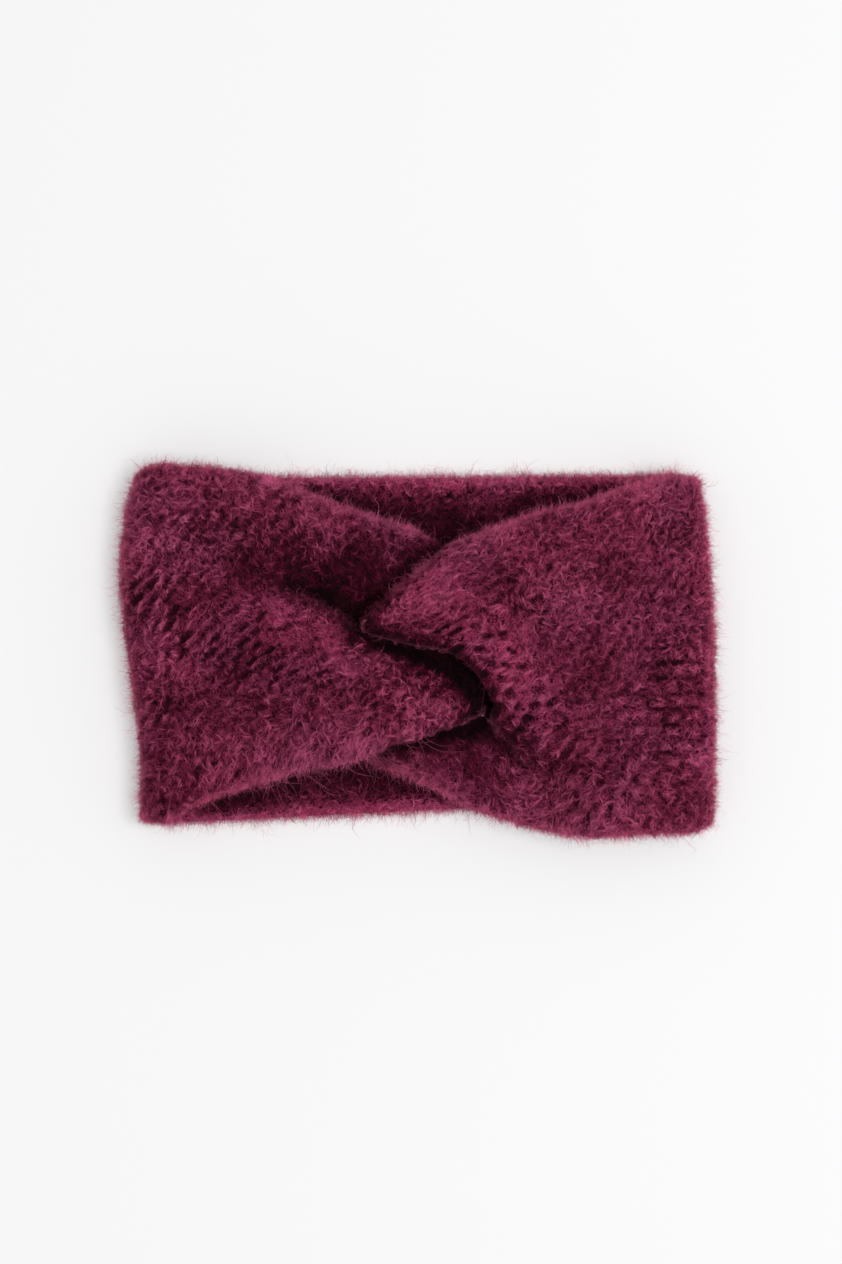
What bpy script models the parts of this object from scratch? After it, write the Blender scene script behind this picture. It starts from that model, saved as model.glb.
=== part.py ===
# Ear warmer headband: two thick knitted bands hooked round each other at the front.
# It lies flat with its front up, as it would on a table, and is open inside from edge to edge.
# Metres. +Z is up, +X is its right side seen from the front, +Y is the edge at the top of the head.

import math
from collections import namedtuple

import bpy
import numpy as np

# Driving sizes
FLAT_WIDTH = 0.2196  # side to side, lying flat
FLAT_DEPTH = 0.1370  # from the lowest edge to the highest edge
WALL = 0.0060  # thickness of the knit
HOLLOW = 0.0070  # open height between the back and the front
LAYER_GAP = 0.0004  # air between two layers of knit that lie on each other
SEAM_GAP = 0.0003  # air between the two bands where they meet at the back
SEAM_X = 0.0180  # where the bands meet at the back, right of the middle
FOLD_ROUND = 0.0060  # how far in from its rim a turned-under fold is rounded

KNIT_COLOUR = (0.205, 0.026, 0.090)
KNIT_ROUGHNESS = 0.95

# Heights that follow from the sizes
LAYER = WALL + LAYER_GAP
BACK_Z = WALL / 2
FRONT_Z = WALL + HOLLOW + WALL / 2
BEND_RADIUS = (FRONT_Z - BACK_Z) / 2

# The front of a band, from its end in the twist out to its side. Each band is described in its own
# frame, coming in from the left: the right band is its table turned half a turn about Z.
# A row is one section across the band, through four places: the free edge of its raised part, the
# ridge where that part ends, the foot of the step beyond the ridge, and the free edge of its low part.
# x and y are shares of half the flat width and half the flat depth. A lift is the height of the middle
# of the wall over the flat front, in layers. puff is half the thickness at the ridge, as a share of
# the wall: 0.5 is one plain wall, and about 1 is an edge that is turned under.
Section = namedtuple(
    "Section",
    "edge_x edge_y ridge_x ridge_y foot_y far_x far_y edge_lift ridge_lift foot_lift far_lift puff",
)

LEFT_FRONT = (
    Section(0.21, -0.33, 0.22, -0.22, -0.10, 0.16, 0.47, 1.00, 1.00, 0.00, 0.00, 0.50),
    Section(0.12, -0.39, 0.14, -0.16, -0.03, 0.10, 0.54, 1.05, 1.00, 0.00, 0.00, 0.50),
    Section(0.01, -0.45, 0.04, -0.10, 0.03, 0.03, 0.61, 1.05, 1.05, 0.00, 0.00, 0.52),
    Section(-0.09, -0.49, -0.07, -0.05, 0.08, -0.06, 0.67, 1.05, 1.10, 0.00, 0.00, 0.55),
    Section(-0.18, -0.56, -0.18, 0.01, 0.13, -0.16, 0.72, 1.05, 1.15, -0.10, 0.00, 0.55),
    Section(-0.28, -0.60, -0.28, 0.11, 0.22, -0.27, 0.78, 0.85, 1.30, -0.20, 0.00, 0.55),
    Section(-0.39, -0.62, -0.39, 0.21, 0.32, -0.38, 0.85, 0.55, 1.10, -0.20, 0.05, 0.50),
    Section(-0.51, -0.69, -0.51, 0.28, 0.41, -0.50, 0.93, 0.30, 0.75, -0.10, 0.05, 0.50),
    Section(-0.63, -0.75, -0.63, 0.33, 0.46, -0.63, 0.97, 0.10, 0.45, 0.00, 0.00, 0.50),
    Section(-0.76, -0.83, -0.77, 0.33, 0.50, -0.75, 0.99, 0.00, 0.20, 0.05, 0.00, 0.50),
)

RIGHT_FRONT = (
    Section(-0.115, -0.57, 0.185, -0.18, 0.34, 0.18, 0.59, 1.30, 1.65, 0.00, -0.10, 0.85),
    Section(-0.15, -0.59, 0.175, -0.10, 0.30, 0.14, 0.61, 1.30, 1.70, 0.00, -0.10, 0.85),
    Section(-0.19, -0.61, 0.10, -0.06, 0.27, 0.08, 0.65, 1.25, 1.75, 0.00, -0.10, 0.90),
    Section(-0.24, -0.64, 0.02, -0.03, 0.25, 0.00, 0.70, 1.15, 1.80, 0.00, -0.15, 1.00),
    Section(-0.30, -0.67, -0.06, -0.01, 0.25, -0.10, 0.78, 1.00, 1.80, 0.00, -0.20, 1.10),
    Section(-0.36, -0.71, -0.14, 0.04, 0.25, -0.19, 0.86, 0.80, 1.90, 0.00, -0.20, 0.80),
    Section(-0.43, -0.74, -0.20, 0.14, 0.26, -0.28, 0.91, 0.60, 2.05, 0.00, -0.20, 0.50),
    Section(-0.50, -0.77, -0.25, 0.27, 0.38, -0.37, 0.95, 0.45, 1.75, 0.00, -0.20, 0.50),
    Section(-0.57, -0.80, -0.30, 0.39, 0.50, -0.46, 0.98, 0.35, 1.25, 0.00, -0.15, 0.50),
    Section(-0.64, -0.84, -0.37, 0.51, 0.62, -0.55, 1.00, 0.25, 0.80, 0.00, -0.10, 0.50),
    Section(-0.71, -0.88, -0.49, 0.58, 0.69, -0.63, 1.00, 0.15, 0.50, 0.05, 0.00, 0.50),
    Section(-0.79, -0.91, -0.65, 0.55, 0.68, -0.73, 0.99, 0.10, 0.25, 0.05, 0.00, 0.50),
)

# The row of RIGHT_FRONT up to which the right band is parted into an upper and a lower tongue, with
# the left band threaded between them
RIGHT_PARTED_TO = 7

# The side and the back of a band, in its own frame, as shares of half the width and half the depth:
# how far out the side reaches at the four places across, then where the two edges lie on the front at
# the side, on the back at the side, and on the back at the seam
Side = namedtuple(
    "Side",
    "out_edge out_low out_high out_far front_edge front_far back_edge back_far seam_edge seam_far",
)
LEFT_SIDE = Side(0.942, 0.950, 0.998, 0.945, -0.92, 1.00, -0.94, 0.94, -0.86, 0.94)
RIGHT_SIDE = Side(0.945, 0.984, 0.998, 0.992, -0.93, 0.98, -0.95, 0.90, -0.94, 0.86)
REACH_PLACES = (0.0, 0.3, 0.62, 1.0)  # how far across the four reaches of a side are given
SIDE_PINCH = 0.015  # how much narrower the band is where it turns round its side, as a share

# How finely the surface is divided
EDGE_STEPS = (0.0, 0.13, 0.5)  # distances in from a free edge, as shares of the wall
FOLD_STEPS = (0.0, 0.1, 0.4, 1.0)  # distances in from a ridge, as shares of FOLD_ROUND
RAISED_ROWS = 7
STEP_ROWS = 3
LOW_ROWS = 6
END_STATIONS = (0.0, 0.08, 0.25, 0.55)
BEND_STATIONS = 7
BACK_STATIONS = 8
RAISED_CROWN = 0.15  # how much the raised part bulges between its edge and its ridge, in layers


def clear_scene():
    for old in list(bpy.data.objects):
        bpy.data.objects.remove(old, do_unlink=True)


def knit_material(name, colour):
    material = bpy.data.materials.new(name)
    material.use_nodes = True
    shader = material.node_tree.nodes["Principled BSDF"]
    shader.inputs["Base Color"].default_value = (*colour, 1.0)
    shader.inputs["Roughness"].default_value = KNIT_ROUGHNESS
    shader.inputs["Metallic"].default_value = 0.0
    material.diffuse_color = (*colour, 1.0)
    return material


def section_at(table, place):
    """The section at a place along a table, on a smooth curve through its rows."""
    rows = np.array(table)
    k = min(int(place), len(rows) - 2)
    t = place - k
    before = rows[k - 1] if k > 0 else 2 * rows[0] - rows[1]
    after = rows[k + 2] if k + 2 < len(rows) else 2 * rows[-1] - rows[-2]
    a, b = rows[k], rows[k + 1]
    bend = 2 * before - 5 * a + 4 * b - after
    twist = 3 * (a - b) + after - before
    return Section(*(a + 0.5 * t * (b - before + t * (bend + t * twist))))


def rounding(distance, reach):
    """How full the wall is at a distance in from its rim: 0 at the rim, 1 from reach inwards."""
    return math.sqrt(1 - (1 - min(distance / reach, 1)) ** 2)


def spaced(start, stop, count):
    """count distances strictly between start and stop."""
    return [start + (stop - start) * k / (count + 1) for k in range(1, count + 1)]


def raised_distances(length):
    """Distances across the raised part, from its free edge to the ridge."""
    first = [s * WALL for s in EDGE_STEPS]
    last = [length - s * FOLD_ROUND for s in reversed(FOLD_STEPS)]
    if last[0] <= first[-1]:
        squeeze = length / (first[-1] + FOLD_ROUND + WALL / 4)
        first = [d * squeeze for d in first]
        last = [length - (length - d) * squeeze for d in last]
    return first + spaced(first[-1], last[0], RAISED_ROWS) + last


def low_distances(length):
    """Distances across the low part, from the foot of the step to its free edge."""
    first = [s * WALL for s in EDGE_STEPS]
    last = [length - d for d in reversed(first)]
    return first + spaced(first[-1], last[0], LOW_ROWS) + last


def front_station(section):
    """Points of the middle of the wall and half its thickness, across the front at one section."""
    edge = np.array([section.edge_x * FLAT_WIDTH, section.edge_y * FLAT_DEPTH]) / 2
    ridge = np.array([section.ridge_x * FLAT_WIDTH, section.ridge_y * FLAT_DEPTH]) / 2
    foot = np.array([section.ridge_x * FLAT_WIDTH, section.foot_y * FLAT_DEPTH]) / 2
    far = np.array([section.far_x * FLAT_WIDTH, section.far_y * FLAT_DEPTH]) / 2
    points, halves = [], []

    def add(place, lift, half):
        points.append((place[0], place[1], FRONT_Z + lift * LAYER))
        halves.append(half)

    raised = float(np.linalg.norm(ridge - edge))
    for distance in raised_distances(raised):
        share = distance / raised
        fuller = share * share * (3 - 2 * share)
        lift = section.edge_lift + (section.ridge_lift - section.edge_lift) * share
        lift += RAISED_CROWN * 4 * share * (1 - share)
        half = WALL * (0.5 + (section.puff - 0.5) * fuller)
        add(edge + (ridge - edge) * share, lift, half * rounding(distance, WALL / 2))
    for distance in spaced(0, 1, STEP_ROWS):
        drop = distance * distance * (3 - 2 * distance)
        lift = section.ridge_lift + (section.foot_lift - section.ridge_lift) * drop
        half = WALL * (section.puff + (0.5 - section.puff) * drop)
        add(ridge + (foot - ridge) * distance, lift, half)
    low = float(np.linalg.norm(far - foot))
    for distance in low_distances(low):
        share = distance / low
        lift = section.foot_lift + (section.far_lift - section.foot_lift) * share
        add(foot + (far - foot) * share, lift, WALL / 2 * rounding(low - distance, WALL / 2))
    return points, halves


def side_reach(side, across):
    """How far out the side reaches a share of the way across, on a curve through four places."""
    reach = 0.0
    for place, out in zip(REACH_PLACES, (side.out_edge, side.out_low, side.out_high, side.out_far)):
        weight = 1.0
        for other in REACH_PLACES:
            if other != place:
                weight *= (across - other) / (place - other)
        reach += out * weight
    return reach * FLAT_WIDTH / 2 - WALL / 2


def bend_station(side, across, turn):
    """Points round the side. turn goes from 0 on the front to 1 on the back."""
    ease = turn * turn * (3 - 2 * turn)
    pinch = 1 - SIDE_PINCH * math.sin(math.pi * turn)
    edge_y = (side.front_edge + (side.back_edge - side.front_edge) * ease) * pinch * FLAT_DEPTH / 2
    far_y = (side.front_far + (side.back_far - side.front_far) * ease) * pinch * FLAT_DEPTH / 2
    points = []
    for share in across:
        x = -side_reach(side, share) + BEND_RADIUS * (1 - math.sin(math.pi * turn))
        z = (FRONT_Z + BACK_Z) / 2 + BEND_RADIUS * math.cos(math.pi * turn)
        points.append((x, edge_y + (far_y - edge_y) * share, z))
    return points


def back_station(side, across, seam_x, along):
    """Points across the back. along goes from 0 at the side to 1 at the seam."""
    edge_y = (side.back_edge + (side.seam_edge - side.back_edge) * along) * FLAT_DEPTH / 2
    far_y = (side.back_far + (side.seam_far - side.back_far) * along) * FLAT_DEPTH / 2
    points = []
    for share in across:
        start = -side_reach(side, share) + BEND_RADIUS
        points.append((start + (seam_x - start) * along, edge_y + (far_y - edge_y) * share, BACK_Z))
    return points


def band_surface(table, side, seam_x, parted_to):
    """The middle of a band's wall as a grid of points, half its thickness there, and its cells."""
    places = list(END_STATIONS) + [k / 2 for k in range(2, 2 * len(table) - 1)]
    points, halves = [], []
    for place in places:
        row, thickness = front_station(section_at(table, place))
        from_end = np.linalg.norm(np.array(row) - np.array(points[0] if points else row), axis=1)
        reach = FOLD_ROUND if parted_to else WALL / 2
        points.append(row)
        halves.append([half * rounding(d, reach) for half, d in zip(thickness, from_end)])

    last = np.array(points[-1])
    across = (last[:, 1] - last[0, 1]) / (last[-1, 1] - last[0, 1])
    wall = [WALL / 2 * rounding(min(s, 1 - s) * FLAT_DEPTH, WALL / 2) for s in across]
    for k in range(BEND_STATIONS + 1):
        points.append(bend_station(side, across, k / BEND_STATIONS))
        halves.append(wall)
    for k in range(1, BACK_STATIONS + 1):
        points.append(back_station(side, across, seam_x, k / BACK_STATIONS))
        halves.append(wall)
    seam, before = np.array(points[-1]), np.array(points[-2])
    inwards = (before - seam) / np.linalg.norm(before - seam, axis=1)[:, None]
    for step in EDGE_STEPS[1:]:
        points.insert(-1 if step == EDGE_STEPS[1] else -2, seam + inwards * step * WALL)
        full = rounding(step * WALL, WALL / 2)
        halves.insert(-1 if step == EDGE_STEPS[1] else -2, [half * full for half in wall])

    points, halves = np.array(points), np.array(halves)
    ridge_row = len(raised_distances(FLAT_DEPTH)) - 1
    foot_row = ridge_row + STEP_ROWS + 1
    parted = places.index(parted_to) if parted_to else 0
    for j in range(parted):
        for k, share in enumerate(FOLD_STEPS):
            halves[j, ridge_row - k] *= rounding(share * FOLD_ROUND, FOLD_ROUND)
        for k, share in enumerate(EDGE_STEPS):
            halves[j, foot_row + k] *= rounding(share * WALL, WALL / 2)
    cells = [
        (j, i)
        for j in range(len(points) - 1)
        for i in range(points.shape[1] - 1)
        if not (j < parted and ridge_row <= i < foot_row)
    ]
    return points, halves, cells


def corners_of(cell):
    j, i = cell
    return ((j, i), (j, i + 1), (j + 1, i + 1), (j + 1, i))


def thick_sheet(points, halves, cells):
    """A closed skin round the wall. Its two faces meet along every rim."""
    normals = np.zeros_like(points)
    edge_uses = {}
    for cell in cells:
        a, b, c, d = corners_of(cell)
        facing = np.cross(points[c] - points[a], points[d] - points[b])
        for corner in (a, b, c, d):
            normals[corner] += facing
        for ends in ((a, b), (b, c), (c, d), (d, a)):
            key = frozenset(ends)
            edge_uses[key] = edge_uses.get(key, 0) + 1
    rim = {corner for ends, uses in edge_uses.items() if uses == 1 for corner in ends}

    vertices, outer, inner = [], {}, {}
    for cell in cells:
        for corner in corners_of(cell):
            if corner in outer:
                continue
            outer[corner] = len(vertices)
            if corner in rim:
                vertices.append(points[corner])
                inner[corner] = outer[corner]
                continue
            out = normals[corner] / np.linalg.norm(normals[corner]) * halves[corner]
            vertices.append(points[corner] + out)
            inner[corner] = len(vertices)
            vertices.append(points[corner] - out)
    faces = []
    for cell in cells:
        corners = corners_of(cell)
        faces.append([outer[corner] for corner in corners])
        faces.append([inner[corner] for corner in reversed(corners)])
    return np.array(vertices), faces


def make_band(name, vertices, faces, material):
    mesh = bpy.data.meshes.new(name)
    mesh.from_pydata(vertices.tolist(), [], faces)
    mesh.shade_smooth()
    mesh.materials.append(material)
    band = bpy.data.objects.new(name, mesh)
    bpy.context.collection.objects.link(band)
    return band


def main():
    clear_scene()
    knit = knit_material("brushed_knit", KNIT_COLOUR)
    left, left_faces = thick_sheet(
        *band_surface(LEFT_FRONT, LEFT_SIDE, SEAM_X - SEAM_GAP / 2, 0)
    )
    right, right_faces = thick_sheet(
        *band_surface(RIGHT_FRONT, RIGHT_SIDE, -SEAM_X - SEAM_GAP / 2, RIGHT_PARTED_TO)
    )
    right = right * (-1, -1, 1)
    low = np.minimum(left.min(0), right.min(0))
    high = np.maximum(left.max(0), right.max(0))
    middle = np.array([(low[0] + high[0]) / 2, (low[1] + high[1]) / 2, low[2]])
    make_band("left_band", left - middle, left_faces, knit)
    make_band("right_band", right - middle, right_faces, knit)


main()
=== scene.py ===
"""The looks of a brushed-knit ear warmer headband that lies flat with its twist up."""

import math
from collections import namedtuple

import bpy
import numpy as np
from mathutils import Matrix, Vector
from mathutils.bvhtree import BVHTree


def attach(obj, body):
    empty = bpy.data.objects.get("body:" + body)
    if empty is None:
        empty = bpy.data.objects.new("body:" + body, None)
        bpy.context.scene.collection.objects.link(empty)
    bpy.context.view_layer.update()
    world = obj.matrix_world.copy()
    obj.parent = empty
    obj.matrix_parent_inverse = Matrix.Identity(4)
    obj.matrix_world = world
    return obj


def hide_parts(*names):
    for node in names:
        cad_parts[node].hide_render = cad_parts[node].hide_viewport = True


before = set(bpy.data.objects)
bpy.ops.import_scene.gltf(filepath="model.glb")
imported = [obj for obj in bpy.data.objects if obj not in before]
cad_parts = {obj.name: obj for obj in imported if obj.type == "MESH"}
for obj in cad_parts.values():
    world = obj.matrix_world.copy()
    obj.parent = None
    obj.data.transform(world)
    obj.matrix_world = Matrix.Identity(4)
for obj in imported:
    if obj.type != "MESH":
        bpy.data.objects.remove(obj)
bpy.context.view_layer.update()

# Sizes of the two bands, as in the model
FLAT_WIDTH = 0.2196
FLAT_DEPTH = 0.1370
WALL = 0.0060
HOLLOW = 0.0070
LAYER_GAP = 0.0004
SEAM_X = 0.0180
FOLD_ROUND = 0.0060
SIDE_PINCH = 0.015
REACH_PLACES = (0.0, 0.3, 0.62, 1.0)
RAISED_CROWN = 0.15
LAYER = WALL + LAYER_GAP
BACK_Z = WALL / 2
FRONT_Z = WALL + HOLLOW + WALL / 2
BEND_RADIUS = (FRONT_Z - BACK_Z) / 2


def records(kind, *rows):
    """A table's rows, with its columns named."""
    return [kind(*row) for row in rows]


# The sections of each band's front, from its end in the twist to its side, as in the model
Section = namedtuple(
    "Section",
    "edge_x edge_y ridge_x ridge_y foot_y far_x far_y edge_lift ridge_lift foot_lift far_lift puff",
)
LEFT_FRONT = records(
    Section,
    (0.21, -0.33, 0.22, -0.22, -0.1, 0.16, 0.47, 1.0, 1.0, 0.0, 0.0, 0.5),
    (0.12, -0.39, 0.14, -0.16, -0.03, 0.1, 0.54, 1.05, 1.0, 0.0, 0.0, 0.5),
    (0.01, -0.45, 0.04, -0.1, 0.03, 0.03, 0.61, 1.05, 1.05, 0.0, 0.0, 0.52),
    (-0.09, -0.49, -0.07, -0.05, 0.08, -0.06, 0.67, 1.05, 1.1, 0.0, 0.0, 0.55),
    (-0.18, -0.56, -0.18, 0.01, 0.13, -0.16, 0.72, 1.05, 1.15, -0.1, 0.0, 0.55),
    (-0.28, -0.6, -0.28, 0.11, 0.22, -0.27, 0.78, 0.85, 1.3, -0.2, 0.0, 0.55),
    (-0.39, -0.62, -0.39, 0.21, 0.32, -0.38, 0.85, 0.55, 1.1, -0.2, 0.05, 0.5),
    (-0.51, -0.69, -0.51, 0.28, 0.41, -0.5, 0.93, 0.3, 0.75, -0.1, 0.05, 0.5),
    (-0.63, -0.75, -0.63, 0.33, 0.46, -0.63, 0.97, 0.1, 0.45, 0.0, 0.0, 0.5),
    (-0.76, -0.83, -0.77, 0.33, 0.5, -0.75, 0.99, 0.0, 0.2, 0.05, 0.0, 0.5),
)
RIGHT_FRONT = records(
    Section,
    (-0.115, -0.57, 0.185, -0.18, 0.34, 0.18, 0.59, 1.3, 1.65, 0.0, -0.1, 0.85),
    (-0.15, -0.59, 0.175, -0.1, 0.3, 0.14, 0.61, 1.3, 1.7, 0.0, -0.1, 0.85),
    (-0.19, -0.61, 0.1, -0.06, 0.27, 0.08, 0.65, 1.25, 1.75, 0.0, -0.1, 0.9),
    (-0.24, -0.64, 0.02, -0.03, 0.25, 0.0, 0.7, 1.15, 1.8, 0.0, -0.15, 1.0),
    (-0.3, -0.67, -0.06, -0.01, 0.25, -0.1, 0.78, 1.0, 1.8, 0.0, -0.2, 1.1),
    (-0.36, -0.71, -0.14, 0.04, 0.25, -0.19, 0.86, 0.8, 1.9, 0.0, -0.2, 0.8),
    (-0.43, -0.74, -0.2, 0.14, 0.26, -0.28, 0.91, 0.6, 2.05, 0.0, -0.2, 0.5),
    (-0.5, -0.77, -0.25, 0.27, 0.38, -0.37, 0.95, 0.45, 1.75, 0.0, -0.2, 0.5),
    (-0.57, -0.8, -0.3, 0.39, 0.5, -0.46, 0.98, 0.35, 1.25, 0.0, -0.15, 0.5),
    (-0.64, -0.84, -0.37, 0.51, 0.62, -0.55, 1.0, 0.25, 0.8, 0.0, -0.1, 0.5),
    (-0.71, -0.88, -0.49, 0.58, 0.69, -0.63, 1.0, 0.15, 0.5, 0.05, 0.0, 0.5),
    (-0.79, -0.91, -0.65, 0.55, 0.68, -0.73, 0.99, 0.1, 0.25, 0.05, 0.0, 0.5),
)
RIGHT_PARTED_TO = 7
Side = namedtuple(
    "Side",
    "out_edge out_low out_high out_far front_edge front_far back_edge back_far seam_edge seam_far",
)
LEFT_SIDE = Side(0.942, 0.950, 0.998, 0.945, -0.92, 1.00, -0.94, 0.94, -0.86, 0.94)
RIGHT_SIDE = Side(0.945, 0.984, 0.998, 0.992, -0.93, 0.98, -0.95, 0.90, -0.94, 0.86)

# The photograph: its frame, its scale at the object, and where the middle of the object falls in it
PHOTO_WIDTH, PHOTO_HEIGHT = 842, 1264
PHOTO_METRE = 0.000368  # one pixel at the object
PHOTO_CENTRE = (418.0, 651.0)
LENS, SENSOR = 85.0, 36.0

# How finely the knit is made
FRONT_STEP = 0.00092
BACK_STEP = 0.0016
ACROSS_COUNT = 106
FABRIC_DEPTH = 0.130  # the band's depth where it isn't gathered
INSET = 0.0002  # how far the knit stays inside the model's edges, to leave room for the pile
SEAM_ROUND = 0.0004  # how far in from the seam at the back the knit is rounded
SINK = 0.0004  # how far it stays under the model's faces

# The stitches, in metres
ROW_PITCH = 0.0056
STITCH_PITCH = 0.0052
STITCH_DEPTH = 0.0016
PIT_PITCH = 0.0024
PIT_LENGTH = 0.0021
PIT_WIDTH = 0.0009
LARGE_LUMPS = 0.00022
SMALL_LUMPS = 0.00015

SKY_REACH = 0.030  # how far a neighbouring fold can shade a place
SKY_RAYS = 28
SKY_START = 0.0009  # how far above the knit a ray starts
COARSE_EVERY = 4  # the sky is found at every fourth place both ways


def smooth(t):
    t = np.clip(t, 0, 1)
    return t * t * (3 - 2 * t)


def rounding(distance, reach):
    return np.sqrt(1 - (1 - np.clip(distance / reach, 0, 1)) ** 2)


def unit(vectors):
    return vectors / np.maximum(np.linalg.norm(vectors, axis=-1, keepdims=True), 1e-12)


def lengths(vectors):
    return np.linalg.norm(vectors, axis=-1)


def hashed(*keys):
    """A number from 0 to 1 for each set of whole numbers."""
    mixed = np.zeros(np.broadcast(*keys).shape, np.uint64)
    for k, key in enumerate(keys):
        mixed = mixed + np.asarray(key).astype(np.int64).astype(np.uint64) * np.uint64(
            0x9E3779B97F4A7C15 + 2 * 7919 * k
        )
        mixed ^= mixed >> np.uint64(29)
        mixed = mixed * np.uint64(0xBF58476D1CE4E5B9)
        mixed ^= mixed >> np.uint64(32)
    return (mixed >> np.uint64(11)).astype(float) / 2**53


def noise(x, y, size, seed):
    """Smooth noise from -1 to 1 on a grid of cells of a size."""
    x, y = np.asarray(x) / size, np.asarray(y) / size
    i, j = np.floor(x), np.floor(y)
    u, v = smooth(x - i), smooth(y - j)
    near = hashed(i, j, seed) * (1 - u) + hashed(i + 1, j, seed) * u
    next_row = hashed(i, j + 1, seed) * (1 - u) + hashed(i + 1, j + 1, seed) * u
    return 2 * (near * (1 - v) + next_row * v) - 1


def sections_at(table, places):
    """Sections at places along a table, on a smooth curve through its rows, as columns."""
    rows = np.array(table)
    rows = np.vstack([2 * rows[0] - rows[1], rows, 2 * rows[-1] - rows[-2]])
    k = np.minimum(places.astype(int), len(table) - 2)
    t = (places - k)[:, None]
    before, a, b, after = rows[k], rows[k + 1], rows[k + 2], rows[k + 3]
    bend = 2 * before - 5 * a + 4 * b - after
    twist = 3 * (a - b) + after - before
    return Section(*(a + 0.5 * t * (b - before + t * (bend + t * twist))).T)


def front_surface(section, across, ridge_at, foot_at):
    """Middle of the wall and its half thickness on the front, stations by places across."""
    c = Section(*(getattr(section, name)[:, None] for name in Section._fields))
    raised = np.clip(across / ridge_at, 0, 1)[None, :]
    step = np.clip((across - ridge_at) / (foot_at - ridge_at), 0, 1)[None, :]
    low = np.clip((across - foot_at) / (1 - foot_at), 0, 1)[None, :]
    x = c.edge_x + (c.ridge_x - c.edge_x) * raised + (c.far_x - c.ridge_x) * low
    y = c.edge_y + (c.ridge_y - c.edge_y) * raised
    y = y + (c.foot_y - c.ridge_y) * step + (c.far_y - c.foot_y) * low
    lift = c.edge_lift + (c.ridge_lift - c.edge_lift) * raised
    lift = lift + RAISED_CROWN * 4 * raised * (1 - raised)
    lift = lift + (c.foot_lift - c.ridge_lift) * smooth(step)
    lift = lift + (c.far_lift - c.foot_lift) * low
    half = WALL * (0.5 + (c.puff - 0.5) * smooth(raised) * (1 - smooth(step)))
    points = np.stack([x * FLAT_WIDTH / 2, y * FLAT_DEPTH / 2, FRONT_Z + lift * LAYER], -1)
    return points, half


def side_reach(side, across):
    reach = 0.0 * across
    for place, out in zip(REACH_PLACES, (side.out_edge, side.out_low, side.out_high, side.out_far)):
        weight = 1.0
        for other in REACH_PLACES:
            if other != place:
                weight = weight * (across - other) / (place - other)
        reach = reach + out * weight
    return reach * FLAT_WIDTH / 2 - WALL / 2


def side_surface(side, across, turns):
    """Middle of the wall round the side. A turn goes from 0 on the front to 1 on the back."""
    turn = turns[:, None]
    ease = smooth(turn)
    pinch = (1 - SIDE_PINCH * np.sin(np.pi * turn)) * FLAT_DEPTH / 2
    edge_y = (side.front_edge + (side.back_edge - side.front_edge) * ease) * pinch
    far_y = (side.front_far + (side.back_far - side.front_far) * ease) * pinch
    x = -side_reach(side, across)[None, :] + BEND_RADIUS * (1 - np.sin(np.pi * turn))
    y = edge_y + (far_y - edge_y) * across[None, :]
    z = (FRONT_Z + BACK_Z) / 2 + BEND_RADIUS * np.cos(np.pi * turn)
    return np.stack([x, y, z + 0 * x], -1)


def back_surface(side, across, seam_x, along):
    """Middle of the wall on the back. along goes from 0 at the side to 1 at the seam."""
    along = along[:, None]
    edge_y = (side.back_edge + (side.seam_edge - side.back_edge) * along) * FLAT_DEPTH / 2
    far_y = (side.back_far + (side.seam_far - side.back_far) * along) * FLAT_DEPTH / 2
    start = -side_reach(side, across)[None, :] + BEND_RADIUS
    x = start + (seam_x - start) * along
    y = edge_y + (far_y - edge_y) * across[None, :]
    return np.stack([x, y, 0 * x + BACK_Z], -1)


def evenly(points, halves, first, last, step, last_step=0.0):
    """Stations a step apart from first to last, and one more a last_step before the last."""
    span = lengths(np.diff(points[first : last + 1], axis=0)).mean(1)
    length = np.concatenate([[0], np.cumsum(span)])
    wanted = np.linspace(0, length[-1], max(2, int(round(length[-1] / step)) + 1))
    if last_step:
        wanted = np.insert(wanted, -1, length[-1] - last_step)
    k = np.clip(np.searchsorted(length, wanted, side="right") - 1, 0, len(span) - 1)
    t = ((wanted - length[k]) / span[k])[:, None]
    a, b = first + k, first + k + 1
    even = points[a] * (1 - t[..., None]) + points[b] * t[..., None]
    return even, halves[a] * (1 - t) + halves[b] * t


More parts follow.
